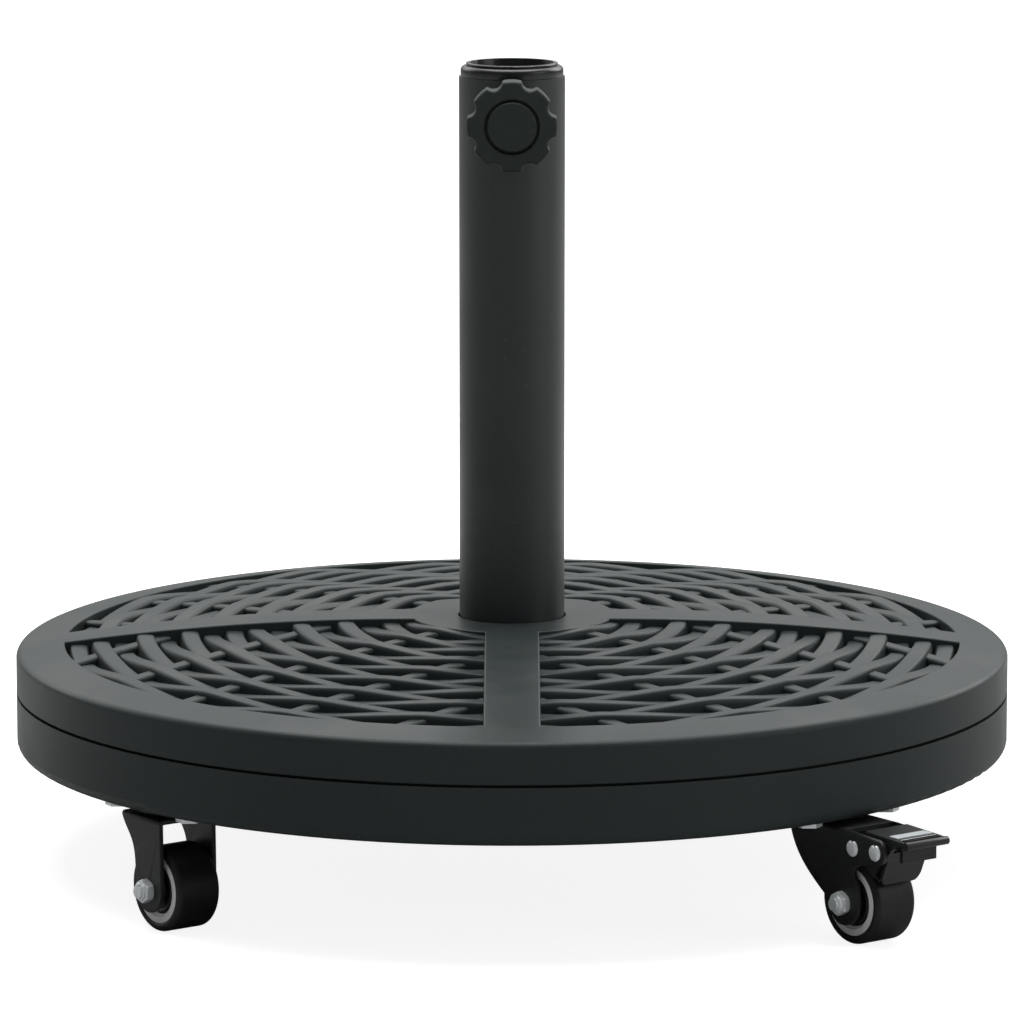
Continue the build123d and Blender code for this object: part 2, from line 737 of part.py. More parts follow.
def brake_lever(index):
    """Steel lever: a shoe round the tread, two cheeks on the pivot and an arm to the pedal."""
    near = wheel_r + shoe_gap
    far = near + shoe_t
    middle = (shoe_from + shoe_to) / 2
    shoe = [
        ThreePointArc(*xz([shoe_point(near, a) for a in (shoe_from, middle, shoe_to)])),
        Line(*xz([shoe_point(near, shoe_to), shoe_point(far, shoe_to)])),
        ThreePointArc(*xz([shoe_point(far, a) for a in (shoe_to, middle, shoe_from)])),
        Line(*xz([shoe_point(far, shoe_from), shoe_point(near, shoe_from)])),
    ]
    x, z = pivot_pin
    start = x - cheek_r + arm_start
    end = pedal_end - arm_short
    arm = [
        (x - cheek_r, z),
        (start, pedal_z(start) - pedal_t),
        (end, pedal_z(end) - pedal_t),
        (x + cheek_r, z - arm_start),
    ]
    root = [
        (x - cheek_r, z),
        (x + cheek_r, z - arm_start),
        shoe_point(far - root_sink, shoe_from + cheek_root),
        shoe_point(near + root_sink, shoe_from + cheek_root),
        shoe_point(near + root_sink, shoe_to - cheek_root / 3),
    ]
    bridge = [
        (start, pedal_z(start) - pedal_t),
        (end, pedal_z(end) - pedal_t),
        (end, pedal_z(end) - pedal_t - bridge_t),
        (start, pedal_z(start) - pedal_t - bridge_t),
    ]
    apron = [
        shoe_point(near, shoe_from),
        shoe_point(far, shoe_from),
        (x + cheek_r, z),
        (x + cheek_r - shoe_t, z),
    ]
    outer = fork_inner_w / 2 - cheek_gap
    body = side_plate(shoe, -shoe_w / 2, shoe_w / 2)
    body += side_plate(Polyline(*xz(apron), close=True), -shoe_w / 2, shoe_w / 2)
    body = body & shoe_front()
    body += side_plate(Polyline(*xz(bridge), close=True), -outer, outer)
    for side in (-1, 1):
        limits = sorted((side * outer, side * (outer - cheek_t)))
        body += cross_rod(cheek_r, *limits, x, z)
        body += side_plate(Polyline(*xz(arm), close=True), *limits)
        body += side_plate(Polyline(*xz(root), close=True), *limits)
    body -= cross_rod(pin_r + fit_gap, -fork_w, fork_w, x, z)
    return put_caster(index, body - pedal_plate())


def brake_pedal(index):
    """Moulded pedal on the lever's arm, with a round tip, ribs and a lip that hangs down."""
    half = pedal_w / 2
    end = pedal_end - tip_r
    body = pedal_plate() + cross_rod(tip_r, -half, half, end, pedal_z(end) - tip_r + tip_lift)
    lip_x = pedal_end - lip_back
    under = pedal_z(lip_x) - pedal_t
    body += box((lip_x, lip_x + lip_t), (-lip_w / 2, lip_w / 2), (under - lip_h, under + tip_lift))
    for step in range(rib_count):
        x = grip_from + grip_len + rib_pitch * step + rib_w
        body += box((x, x + rib_w), (-grip_w / 2, grip_w / 2), (pedal_z(x) - bury, pedal_z(x) + rib_h))
    seat = box((grip_from, grip_from + grip_len), (-grip_w / 2, grip_w / 2),
               (pedal_z(grip_from) - grip_t, pedal_top + bury))
    return put_caster(index, body - seat)


def brake_grip(index):
    """Light insert let into the pedal's top."""
    low = pedal_z(grip_from) - grip_t
    high = pedal_z(grip_from) + grip_proud
    body = box((grip_from, grip_from + grip_len), (-grip_w / 2, grip_w / 2), (low, high))
    return put_caster(index, body)


def brake_pins(index):
    pins = []
    outer = fork_w / 2
    for x, z in (stop_pin, pivot_pin):
        pin = cross_rod(pin_r, -outer, outer, x, z)
        for side in (-1, 1):
            head = cross_rod(pin_head_r, side * outer, side * (outer + pin_head_h), x, z)
            pin += head
        pins.append(pin)
    return put_caster(index, Compound(pins))


# --- writing ------------------------------------------------------------------------------------
os.makedirs("parts", exist_ok=True)

single_nodes = {
    "top_cover": top_cover,
    "bottom_tray": bottom_tray,
    "concrete_ballast": concrete_ballast,
    "tube_socket": tube_socket,
    "pole_tube": pole_tube,
    "tube_plug": tube_plug,
    "base_bolt": base_bolt,
    "base_washer": base_washer,
    "reducer_sleeve": reducer_sleeve,
    "clamp_boss": clamp_boss,
    "knob_grip": knob_grip,
    "knob_cap": knob_cap,
    "knob_screw": knob_screw,
    "screw_pad": screw_pad,
    "swivel_balls": swivel_balls,
    "plate_bolts": plate_bolts,
    "thread_inserts": thread_inserts,
}
caster_nodes = {
    "caster_plate": caster_plate,
    "kingpin": kingpin,
    "fork": fork,
    "tyre": tyre,
    "wheel_core": wheel_core,
    "axle_bush": axle_bush,
    "axle_bolt": axle_bolt,
    "axle_nut": axle_nut,
}
brake_nodes = {
    "brake_lever": brake_lever,
    "brake_pedal": brake_pedal,
    "brake_grip": brake_grip,
    "brake_pins": brake_pins,
}

for node, make in single_nodes.items():
    save(make(), node)
for index, name in enumerate(caster_names):
    for node, make in caster_nodes.items():
        save(make(index), f"{node}_{name}")
    if caster_brakes[index]:
        for node, make in brake_nodes.items():
            save(make(index), f"{node}_{name}")
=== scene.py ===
import json
import math

import bpy
from mathutils import Matrix, Vector


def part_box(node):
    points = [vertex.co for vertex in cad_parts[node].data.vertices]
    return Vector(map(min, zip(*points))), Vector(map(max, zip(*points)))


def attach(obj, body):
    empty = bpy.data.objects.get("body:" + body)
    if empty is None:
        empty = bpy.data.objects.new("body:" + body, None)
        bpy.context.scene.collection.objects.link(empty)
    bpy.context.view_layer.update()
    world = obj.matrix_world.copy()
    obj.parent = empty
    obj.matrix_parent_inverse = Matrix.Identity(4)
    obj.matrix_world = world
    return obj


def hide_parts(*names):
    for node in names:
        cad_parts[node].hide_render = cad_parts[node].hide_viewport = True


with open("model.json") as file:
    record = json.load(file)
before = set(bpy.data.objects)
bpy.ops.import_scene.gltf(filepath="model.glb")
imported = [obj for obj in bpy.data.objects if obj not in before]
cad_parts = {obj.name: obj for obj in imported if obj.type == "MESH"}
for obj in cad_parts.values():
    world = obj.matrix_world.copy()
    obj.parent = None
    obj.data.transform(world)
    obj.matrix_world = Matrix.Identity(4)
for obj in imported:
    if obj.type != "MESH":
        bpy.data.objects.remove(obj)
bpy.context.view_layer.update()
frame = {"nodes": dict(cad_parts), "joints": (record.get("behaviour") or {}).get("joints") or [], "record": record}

print("frame loaded:", len(frame["nodes"]), "nodes")

mm = 0.001
nodes = frame["nodes"]
joints = {joint["name"]: joint for joint in frame["joints"]}
casterNames = ["front_left", "front_right", "rear_right", "rear_left"]
brakedNames = ["front_right", "rear_left"]


# camera
cameraSet = {
    "distance": 2.989,
    "height": 0.6735,
    "tilt": 9.57,  # degrees below level
    "lens": 220.3,
    "sensor": 36.0,
}


def addCamera(look):
    data = bpy.data.cameras.new("camera")
    data.lens = look["lens"]
    data.sensor_width = look["sensor"]
    camera = bpy.data.objects.new("camera", data)
    camera.location = (0, -look["distance"], look["height"])
    camera.rotation_euler = (math.radians(90 - look["tilt"]), 0, 0)
    bpy.context.scene.collection.objects.link(camera)
    bpy.context.scene.camera = camera


addCamera(cameraSet)


# node tools
def newGroup(name, inputs, outputs):
    group = bpy.data.node_groups.new(name, "ShaderNodeTree")
    for label, value in inputs.items():
        socket = group.interface.new_socket(label, in_out="INPUT", socket_type="NodeSocketFloat")
        socket.default_value = value
    for label in outputs:
        group.interface.new_socket(label, in_out="OUTPUT", socket_type="NodeSocketFloat")
    return group, group.nodes.new("NodeGroupInput"), group.nodes.new("NodeGroupOutput")


def addNode(tree, kind, **settings):
    node = tree.nodes.new("ShaderNode" + kind)
    for key, value in settings.items():
        setattr(node, key, value)
    return node


def plug(tree, socket, value):
    if hasattr(value, "is_output"):
        tree.links.new(value, socket)
    else:
        socket.default_value = value


def math2(tree, operation, a, b, clamp=False):
    node = addNode(tree, "Math", operation=operation, use_clamp=clamp)
    plug(tree, node.inputs[0], a)
    plug(tree, node.inputs[1], b)
    return node.outputs[0]


def ramp(tree, value, low, high, outLow=0.0, outHigh=1.0):
    node = addNode(tree, "MapRange", interpolation_type="SMOOTHSTEP")
    for socket, number in zip(node.inputs, (value, low, high, outLow, outHigh)):
        plug(tree, socket, number)
    return node.outputs[0]


def noise(tree, scale, detail=2.0, rough=0.5, stretch=None):
    place = addNode(tree, "TexCoord").outputs["Object"]
    if stretch:
        mapping = addNode(tree, "Mapping")
        tree.links.new(place, mapping.inputs["Vector"])
        mapping.inputs["Scale"].default_value = stretch
        place = mapping.outputs[0]
    node = addNode(tree, "TexNoise")
    tree.links.new(place, node.inputs["Vector"])
    plug(tree, node.inputs["Scale"], scale)
    node.inputs["Detail"].default_value = detail
    node.inputs["Roughness"].default_value = rough
    return node.outputs["Fac"]


# moulded grain: fine cells over a slow unevenness
grainSet = {
    "scale": 900.0,
    "cells": 0.7,  # share of the cells in the height
    "slowScale": 9.0,
    "tone": (0.3, 0.7),
    "speck": (0.35, 0.75),
}


def buildGrain(look):
    group, start, end = newGroup("mouldedGrain", {"Scale": look["scale"]}, ["Height", "Tone", "Speck"])
    cells = addNode(group, "TexVoronoi", feature="SMOOTH_F1")
    group.links.new(addNode(group, "TexCoord").outputs["Object"], cells.inputs["Vector"])
    group.links.new(start.outputs["Scale"], cells.inputs["Scale"])
    fine = noise(group, start.outputs["Scale"], 3.0, 0.6)
    slow = noise(group, look["slowScale"], 3.0, 0.55)
    height = math2(group, "ADD", math2(group, "MULTIPLY", cells.outputs["Distance"], look["cells"]), fine)
    group.links.new(height, end.inputs["Height"])
    group.links.new(ramp(group, slow, *look["tone"]), end.inputs["Tone"])
    group.links.new(ramp(group, fine, *look["speck"]), end.inputs["Speck"])
    return group


# corners that hands and shipping rub paler
wearSet = {
    "radius": 0.7 * mm,
    "edge": (0.015, 0.12),  # turn of the surface that starts and ends the rub
    "scale": 160.0,
    "broken": (0.35, 0.6),
}


def buildEdgeWear(look):
    group, start, end = newGroup("edgeWear", {"Amount": 1.0}, ["Mask"])
    bevel = addNode(group, "Bevel", samples=6)
    bevel.inputs["Radius"].default_value = look["radius"]
    facing = addNode(group, "VectorMath", operation="DOT_PRODUCT")
    group.links.new(bevel.outputs[0], facing.inputs[0])
    group.links.new(addNode(group, "NewGeometry").outputs["Normal"], facing.inputs[1])
    edge = ramp(group, math2(group, "SUBTRACT", 1.0, facing.outputs["Value"]), *look["edge"])
    broken = ramp(group, noise(group, look["scale"], 4.0, 0.65), *look["broken"])
    mask = math2(group, "MULTIPLY", math2(group, "MULTIPLY", edge, broken), start.outputs["Amount"])
    group.links.new(math2(group, "MINIMUM", mask, 1.0), end.inputs["Mask"])
    return group


# pale dust that settles on what faces up
dustSet = {
    "colour": (0.32, 0.31, 0.29),
    "rough": 0.3,  # added to the finish's own
    "facing": (0.35, 0.95),
    "scale": 45.0,
    "cloud": (0.4, 0.72),
}


def buildDust(look):
    group, start, end = newGroup("dust", {"Amount": 0.3}, ["Mask"])
    split = addNode(group, "SeparateXYZ")
    group.links.new(addNode(group, "NewGeometry").outputs["Normal"], split.inputs[0])
    facing = ramp(group, split.outputs["Z"], *look["facing"])
    cloud = ramp(group, noise(group, look["scale"], 6.0, 0.7), *look["cloud"])
    mask = math2(group, "MULTIPLY", math2(group, "MULTIPLY", facing, cloud), start.outputs["Amount"])
    group.links.new(mask, end.inputs["Mask"])
    return group


# sparse hairline scratches in two directions
scuffSet = {
    "rough": 0.12,  # added to the finish's own
    "first": (60.0, (1.0, 22.0, 6.0), (0.69, 0.73)),  # scale, stretch, cut
    "second": (70.0, (18.0, 1.0, 9.0), (0.7, 0.74)),
    "patchScale": 14.0,
    "patch": (0.5, 0.65),
}


def hairlines(group, scale, stretch, cut):
    return ramp(group, noise(group, scale, stretch=stretch), *cut)


def buildScuffs(look):
    group, start, end = newGroup("scuffs", {"Amount": 0.5}, ["Mask"])
    patch = ramp(group, noise(group, look["patchScale"]), *look["patch"])
    lines = math2(group, "MAXIMUM", hairlines(group, *look["first"]), hairlines(group, *look["second"]))
    mask = math2(group, "MULTIPLY", math2(group, "MULTIPLY", lines, patch), start.outputs["Amount"])
    group.links.new(mask, end.inputs["Mask"])
    return group


groups = {
    "grain": buildGrain(grainSet),
    "wear": buildEdgeWear(wearSet),
    "dust": buildDust(dustSet),
    "scuffs": buildScuffs(scuffSet),
}
print("node groups built:", len(groups))


def useGroup(tree, name, **values):
    node = tree.nodes.new("ShaderNodeGroup")
    node.node_tree = groups[name]
    for label, value in values.items():
        node.inputs[label].default_value = value
    return node


def mixColour(tree, factor, a, b):
    node = addNode(tree, "Mix", data_type="RGBA")
    plug(tree, node.inputs["Factor"], factor)
    for socket, value in ((node.inputs["A"], a), (node.inputs["B"], b)):
        plug(tree, socket, value if hasattr(value, "is_output") else (*value, 1.0))
    return node.outputs["Result"]


def scaled(colour, factor):
    return tuple(channel * factor for channel in colour)


def makeFinish(name, look):
    material = bpy.data.materials.new(name)
    material.use_nodes = True
    tree = material.node_tree
    shader = tree.nodes["Principled BSDF"]
    grain = useGroup(tree, "grain", Scale=look["grainScale"])
    wear = useGroup(tree, "wear", Amount=look["wear"])
    dust = useGroup(tree, "dust", Amount=look["dust"])
    scuffs = useGroup(tree, "scuffs", Amount=look["scuffs"])
    base, tone = look["colour"], look["tone"]
    colour = mixColour(tree, grain.outputs["Tone"], scaled(base, 1 - tone), scaled(base, 1 + tone))
    speck = math2(tree, "MULTIPLY", grain.outputs["Speck"], look["speck"])
    colour = mixColour(tree, speck, colour, scaled(base, look.get("speckGain", 1.6)))
    colour = mixColour(tree, wear.outputs["Mask"], colour, look["wearColour"])
    colour = mixColour(tree, scuffs.outputs["Mask"], colour, look["wearColour"])
    colour = mixColour(tree, dust.outputs["Mask"], colour, dustSet["colour"])
    tree.links.new(colour, shader.inputs["Base Color"])
    smoothest, roughest = look["rough"] - look["roughVary"], look["rough"] + look["roughVary"]
    rough = ramp(tree, grain.outputs["Tone"], 0.0, 1.0, smoothest, roughest)
    dusty = math2(tree, "MULTIPLY", dust.outputs["Mask"], dustSet["rough"])
    scuffed = math2(tree, "MULTIPLY", scuffs.outputs["Mask"], scuffSet["rough"])
    rough = math2(tree, "ADD", math2(tree, "ADD", rough, dusty), scuffed, clamp=True)
    tree.links.new(rough, shader.inputs["Roughness"])
    bump = addNode(tree, "Bump")
    bump.inputs["Strength"].default_value = look["bump"]
    bump.inputs["Distance"].default_value = look.get("bumpDepth", 0.08) * mm
    height = math2(tree, "SUBTRACT", grain.outputs["Height"], scuffs.outputs["Mask"])
    tree.links.new(height, bump.inputs["Height"])
    tree.links.new(bump.outputs[0], shader.inputs["Normal"])
    shader.inputs["Metallic"].default_value = look.get("metallic", 0.0)
    shader.inputs["Specular IOR Level"].default_value = look.get("specular", 0.5)
    return material


# every finish that the record names
finishes = {
    "shell_plastic": dict(colour=(0.0275, 0.0345, 0.034), tone=0.08, speck=0.25, rough=0.38, roughVary=0.05,
                          grainScale=1500.0, bump=0.25, wear=0.25, wearColour=(0.045, 0.05, 0.053),
                          dust=0.03, scuffs=0.2, specular=0.14),
    "concrete": dict(colour=(0.48, 0.47, 0.45), tone=0.15, speck=0.5, rough=0.85, roughVary=0.05,
                     grainScale=400.0, bump=0.8, wear=0.2, wearColour=(0.6, 0.59, 0.57),
                     dust=0.1, scuffs=0.2, bumpDepth=0.5, speckGain=0.6),
    "galvanised_steel": dict(colour=(0.55, 0.56, 0.57), tone=0.12, speck=0.4, rough=0.42, roughVary=0.08,
                             grainScale=300.0, bump=0.2, wear=0.3, wearColour=(0.7, 0.71, 0.72),
                             dust=0.05, scuffs=0.5, metallic=1.0, speckGain=1.2),
    # partly the zinc's own bright grey and partly painted light: the colour is raised and the finish is only a
    # third metallic, so that nuts and rivets in the shade under the shell render brighter
    "zinc_steel": dict(colour=(0.87, 0.91, 0.92), tone=0.07, speck=0.3, rough=0.32, roughVary=0.07,
                       grainScale=900.0, bump=0.2, wear=0.3, wearColour=(0.8, 0.82, 0.83),
                       dust=0.0, scuffs=0.5, metallic=0.35, speckGain=0.85),
    "black_steel": dict(colour=(0.009, 0.010, 0.0105), tone=0.12, speck=0.3, rough=0.42, roughVary=0.06,
                        grainScale=1300.0, bump=0.3, wear=0.35, wearColour=(0.09, 0.09, 0.092),
                        dust=0.05, scuffs=0.4, specular=0.4),
    "tube_paint": dict(colour=(0.0165, 0.0225, 0.0225), tone=0.08, speck=0.3, rough=0.42, roughVary=0.05,
                       grainScale=1100.0, bump=0.22, wear=0.3, wearColour=(0.1, 0.1, 0.1),
                       dust=0.05, scuffs=0.3, specular=0.6),
    "sleeve_plastic": dict(colour=(0.012, 0.013, 0.014), tone=0.08, speck=0.15, rough=0.24, roughVary=0.05,
                           grainScale=1400.0, bump=0.1, wear=0.2, wearColour=(0.09, 0.09, 0.095),
                           dust=0.05, scuffs=0.4, specular=0.5),
    "knob_plastic": dict(colour=(0.027, 0.0335, 0.032), tone=0.08, speck=0.25, rough=0.45, roughVary=0.05,
                         grainScale=1600.0, bump=0.25, wear=0.4, wearColour=(0.09, 0.095, 0.095),
                         dust=0.0, scuffs=0.25, specular=0.15),
    "tyre_rubber": dict(colour=(0.008, 0.0085, 0.0085), tone=0.15, speck=0.3, rough=0.5, roughVary=0.1,
                        grainScale=1200.0, bump=0.25, wear=0.2, wearColour=(0.05, 0.05, 0.048),
                        dust=0.05, scuffs=0.5, specular=0.4),
    # painted light: the colour is raised far above the ring's own light grey (about 0.33) to brighten the wheel
    # rings in the shade under the shell
    "core_plastic": dict(colour=(0.88, 0.88, 0.87), tone=0.05, speck=0.25, rough=0.42, roughVary=0.05,
                         grainScale=1500.0, bump=0.2, wear=0.2, wearColour=(0.9, 0.9, 0.89),
                         dust=0.05, scuffs=0.4, speckGain=0.85),
    "brake_steel": dict(colour=(0.008, 0.009, 0.0095), tone=0.12, speck=0.3, rough=0.4, roughVary=0.06,
                        grainScale=1300.0, bump=0.3, wear=0.4, wearColour=(0.1, 0.1, 0.1),
                        dust=0.05, scuffs=0.4, specular=0.45),
    "pedal_plastic": dict(colour=(0.008, 0.009, 0.0095), tone=0.1, speck=0.3, rough=0.4, roughVary=0.06,
                          grainScale=1500.0, bump=0.25, wear=0.4, wearColour=(0.08, 0.08, 0.082),
                          dust=0.05, scuffs=0.5, specular=0.45),
    "grip_plastic": dict(colour=(0.55, 0.58, 0.6), tone=0.05, speck=0.25, rough=0.35, roughVary=0.06,
                         grainScale=1500.0, bump=0.2, wear=0.2, wearColour=(0.7, 0.72, 0.74),
                         dust=0.03, scuffs=0.4, speckGain=0.85),
    "pad_nylon": dict(colour=(0.06, 0.06, 0.06), tone=0.08, speck=0.2, rough=0.4, roughVary=0.05,
                      grainScale=1500.0, bump=0.15, wear=0.2, wearColour=(0.12, 0.12, 0.12),
                      dust=0.0, scuffs=0.3),
}
materials = {name: makeFinish(name, look) for name, look in finishes.items()}
for part in frame["record"]["subparts"]:
    data = nodes[part["node"]].data
    data.materials.clear()
    data.materials.append(materials[part["material_slot"]])
print("finishes built:", len(materials))


# mesh tools
axisGap = 0.02 * mm  # radius of the hole left where a turned piece closes on its axis
cornerMiddle = 0.3  # of a round corner's radius, to the middle of its arc


def addPiece(name, points, faces, body, slot, stands, sharp=40.0):
    mesh = bpy.data.meshes.new(name)
    mesh.from_pydata(points, [], faces)
    mesh.validate()
    piece = bpy.data.objects.new(name, mesh)
    bpy.context.scene.collection.objects.link(piece)
    mesh.materials.append(materials[slot])
    mesh.polygons.foreach_set("use_smooth", [True] * len(mesh.polygons))
    mesh.set_sharp_from_angle(angle=math.radians(sharp))
    weights = piece.modifiers.new("weights", "WEIGHTED_NORMAL")
    weights.keep_sharp = True
    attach(piece, body)
    if stands:
        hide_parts(*stands)


def loftFaces(rowCount, rowLength, start=0, closed=False):
    # quads between rows of points that each close on themselves
    faces = []
    for row in range(rowCount if closed else rowCount - 1):
        here = start + row * rowLength
        there = start + (row + 1) % rowCount * rowLength
        for step in range(rowLength):
            other = (step + 1) % rowLength
            faces.append((here + step, here + other, there + other, there + step))
    return faces


def barFaces(rowCount, rowLength, start=0):
    # a loft with a face on both ends
    last = start + (rowCount - 1) * rowLength
    ends = [tuple(reversed(range(start, start + rowLength))), tuple(range(last, last + rowLength))]
    return loftFaces(rowCount, rowLength, start) + ends


def flipped(faces):
    return [tuple(reversed(face)) for face in faces]


def quarterTurns(steps):
    return [math.pi / 2 * step / steps for step in range(steps + 1)]


def roundCorner(radius, height, soft, steps=4):
    # (radius, height) of a quarter round, from the side wall up onto the face that ends it
    turns = quarterTurns(steps)
    return [(radius - soft * (1 - math.cos(a)), height - soft * (1 - math.sin(a))) for a in turns]


# shell top: plain border, spokes and hub round the four sunk sectors
coverSet = {
    "rimHeight": 19.4 * mm,  # cover's low edge to the rim's top
    "rimEdge": 3.5 * mm,
    "hubRadius": 51.0 * mm,
    "border": 23.5 * mm,
    "spokeWidth": 26.0 * mm,
    "hubEdge": 2.0 * mm,
    "recess": 9.0 * mm,
    "wall": 3.0 * mm,
    "edgeRadius": 0.9 * mm,
    "draft": 0.35 * mm,
    "tubeGap": 0.5 * mm,
    "lowEdge": 0.4 * mm,
    "sectorSteps": 34,
    "sectorRings": 16,
}
coverLow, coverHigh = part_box("top_cover")
tubeLow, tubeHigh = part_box("pole_tube")
baseRadius = coverHigh.x
hubHeight = coverHigh.z
rimHeight = coverLow.z + coverSet["rimHeight"]
domeRise = hubHeight - rimHeight
domeRun = baseRadius - coverSet["rimEdge"] - coverSet["hubRadius"]
domeRadius = (domeRun ** 2 + domeRise ** 2) / (2 * domeRise)
weaveIn = coverSet["hubRadius"] - coverSet["hubEdge"]
weaveOut = baseRadius - coverSet["border"]


def domeHeight(radius):
    run = max(radius - coverSet["hubRadius"], 0.0)
    return hubHeight - domeRadius + math.sqrt(domeRadius ** 2 - run ** 2)


def recessEdge(look):
    # (inset, drop) from the plain side over the rounded edge, down the wall and onto the floor
    edge, depth = look["edgeRadius"], look["recess"]
    points = [(edge * (math.sin(a) - 1), edge * (1 - math.cos(a))) for a in quarterTurns(4)]
    points.append((look["draft"], depth - edge))
    points.append((look["draft"] + edge * cornerMiddle, depth - edge * cornerMiddle))
    points.append((look["draft"] + edge, depth))
    return points


def coverStations(look):
    # stations round the shell: offsets from a spoke's middle, then steps across a sector
    half = look["spokeWidth"] / 2
    edge = recessEdge(look)
    plain = [(half * share, 0.0) for share in (0.0, 0.35, 0.7)]
    flank = plain + [(half + inset, drop) for inset, drop in edge]
    steps = look["sectorSteps"]
    stations = []
    for quarter in range(4):
        for offset, drop in flank:
            stations.append((quarter, "after", offset, drop))
        for step in range(1, steps):
            stations.append((quarter, "across", step / steps, look["recess"]))
        for offset, drop in reversed(flank[1:]):
            stations.append((quarter, "before", offset, drop))
    return stations, flank[-1][0]


def stationAngle(station, radius, lastOffset):
    quarter, kind, value = station[:3]
    turn = quarter * math.pi / 2
    if kind == "after":
        return turn + math.asin(value / radius)
    if kind == "before":
        return turn + math.pi / 2 - math.asin(value / radius)
    first = math.asin(lastOffset / radius)
    return turn + first + value * (math.pi / 2 - 2 * first)


def coverRings(look):
    # (radius, height or None for the dome, ring's drop), from the tube's hole out, down and back inside
    hole = tubeHigh.x + look["tubeGap"]
    soft = look["edgeRadius"]
    middle = soft * cornerMiddle
    floorGap = look["recess"] + look["wall"]
    edge = recessEdge(look)
    rings = [(hole, hubHeight - floorGap, 0.0), (hole, hubHeight - soft, 0.0)]
    rings += [(hole + middle, hubHeight - middle, 0.0), (hole + soft, None, 0.0)]
    rings += [(hole + (weaveIn - hole) * share, None, 0.0) for share in (0.3, 0.7)]
    rings += [(weaveIn + inset, None, drop) for inset, drop in edge]
    count = look["sectorRings"]
    for step in range(1, count):
        rings.append((weaveIn + (weaveOut - weaveIn) * step / count, None, look["recess"]))
    rings += [(weaveOut - inset, None, drop) for inset, drop in reversed(edge)]
    rimStart = baseRadius - look["rimEdge"]
    rings += [(weaveOut + (rimStart - weaveOut) * share, None, 0.0) for share in (0.3, 0.65, 1.0)]
    rings += [(*point, 0.0) for point in roundCorner(baseRadius, rimHeight, look["rimEdge"], 6)[-2::-1]]
    low = coverLow.z
    inside = baseRadius - look["wall"]
    rings += [(baseRadius, (rimHeight + low) / 2, 0.0), (baseRadius, low + look["lowEdge"], 0.0)]
    rings += [(baseRadius - look["lowEdge"], low, 0.0), (inside, low, 0.0)]
    for share in (1.0, 0.8, 0.6, 0.4, 0.2):
        radius = hole + (inside - hole) * share
        rings.append((radius, domeHeight(radius) - floorGap, 0.0))
    return rings


def buildCover(look):
    stations, lastOffset = coverStations(look)
    rings = coverRings(look)
    points = []
    for radius, height, ringDrop in rings:
        for station in stations:
            angle = stationAngle(station, radius, lastOffset)
            z = height if height is not None else domeHeight(radius) - min(ringDrop, station[3])
            points.append((radius * math.cos(angle), radius * math.sin(angle), z))
    faces = flipped(loftFaces(len(rings), len(stations), closed=True))
    addPiece("shell_top", points, faces, "base", "shell_plastic", ["top_cover"])


buildCover(coverSet)
print("shell top built")


# moulded wicker: wavy rings that pass over and under straight stakes
wickerSet = {
    "ringCount": 16,
    "firstRing": 6.9 * mm,  # border to the middle of the outer ring
    "ringPitch": 10.7 * mm,
    "ribbonWidth": 9.4 * mm,
    "wave": 2.2 * mm,
    "crestOut": 0.2 * mm,  # crest below the dome at the border
    "crestMid": 1.3 * mm,  # and halfway in
    "crown": 0.15 * mm,
    "shoulder": (1.6 * mm, 2.6 * mm),  # rounding across and down
    "shoulderTurns": (0, 25, 50, 72, 90),
    "stakePitch": 55.0 * mm,
    "stakeSide": 2,  # stakes on each side of a sector's middle one
    "stakeHalf": 4.2 * mm,
    "stakeEdge": 1.9 * mm,  # rounded upper edges of a stake
    "stakeOut": 1.9 * mm,  # stake's top below the dome at the border
    "stakeMid": 3.2 * mm,
    "sink": 0.3 * mm,
    "lean": 0.5 * mm,  # how much wider a ribbon's foot is on each side
    "buried": 1.0 * mm,  # how far the ends reach into the plain parts
    "arcStep": 2.6 * mm,
    "stakeStep": 4.0 * mm,
}


def dip(radius, outer, middle):
    # eases from the value at the edges to the value halfway between hub and border
    share = (radius - weaveIn) / (weaveOut - weaveIn)
    return outer + (middle - outer) * math.sin(math.pi * min(max(share, 0.0), 1.0))


def ribbonTop(look, ring, radius, angle):
    offset = radius * math.sin(angle - math.pi / 4)
    turn = math.cos(math.pi * offset / look["stakePitch"])
    swing = 0.5 * turn + 0.5 * (1 - 2 * math.acos(turn) / math.pi)  # between a sine and a zigzag
    if ring % 2:
        swing = -swing
    crest = dip(radius, look["crestOut"], look["crestMid"])
    return domeHeight(radius) - crest - look["wave"] * (1 + swing)


def ribbonSection(look, ring, radius, angle):
    # (radius, height) round one ribbon, from its inner foot over the top to its outer foot
    half = look["ribbonWidth"] / 2
    inward, down = look["shoulder"]
    top = ribbonTop(look, ring, radius, angle)
    floor = domeHeight(radius) - coverSet["recess"] - look["sink"]
    across = [(-half - look["lean"], floor)]
    for a in map(math.radians, look["shoulderTurns"]):
        across.append((inward * (1 - math.cos(a)) - half, top - down * (1 - math.sin(a))))
    across.append((-half * 0.3, top + look["crown"]))
    across += [(-x, z) for x, z in reversed(across)]
    return [(max(radius + x, weaveIn - look["buried"]), z) for x, z in across]


def buildRings(look):
    points, faces = [], []
    inset = coverSet["spokeWidth"] / 2 - look["buried"]
    for quarter in range(4):
        for ring in range(look["ringCount"]):
            radius = weaveOut - look["firstRing"] - ring * look["ringPitch"]
            first = math.asin(inset / radius)
            sweep = math.pi / 2 - 2 * first
            count = max(8, round(radius * sweep / look["arcStep"]))
            start = len(points)
            for step in range(count + 1):
                angle = first + sweep * step / count
                turn = angle + quarter * math.pi / 2
                section = ribbonSection(look, ring, radius, angle)
                points += [(r * math.cos(turn), r * math.sin(turn), z) for r, z in section]
            faces += barFaces(count + 1, len(section), start)
    addPiece("wicker_rings", points, faces, "base", "shell_plastic", ["top_cover"])


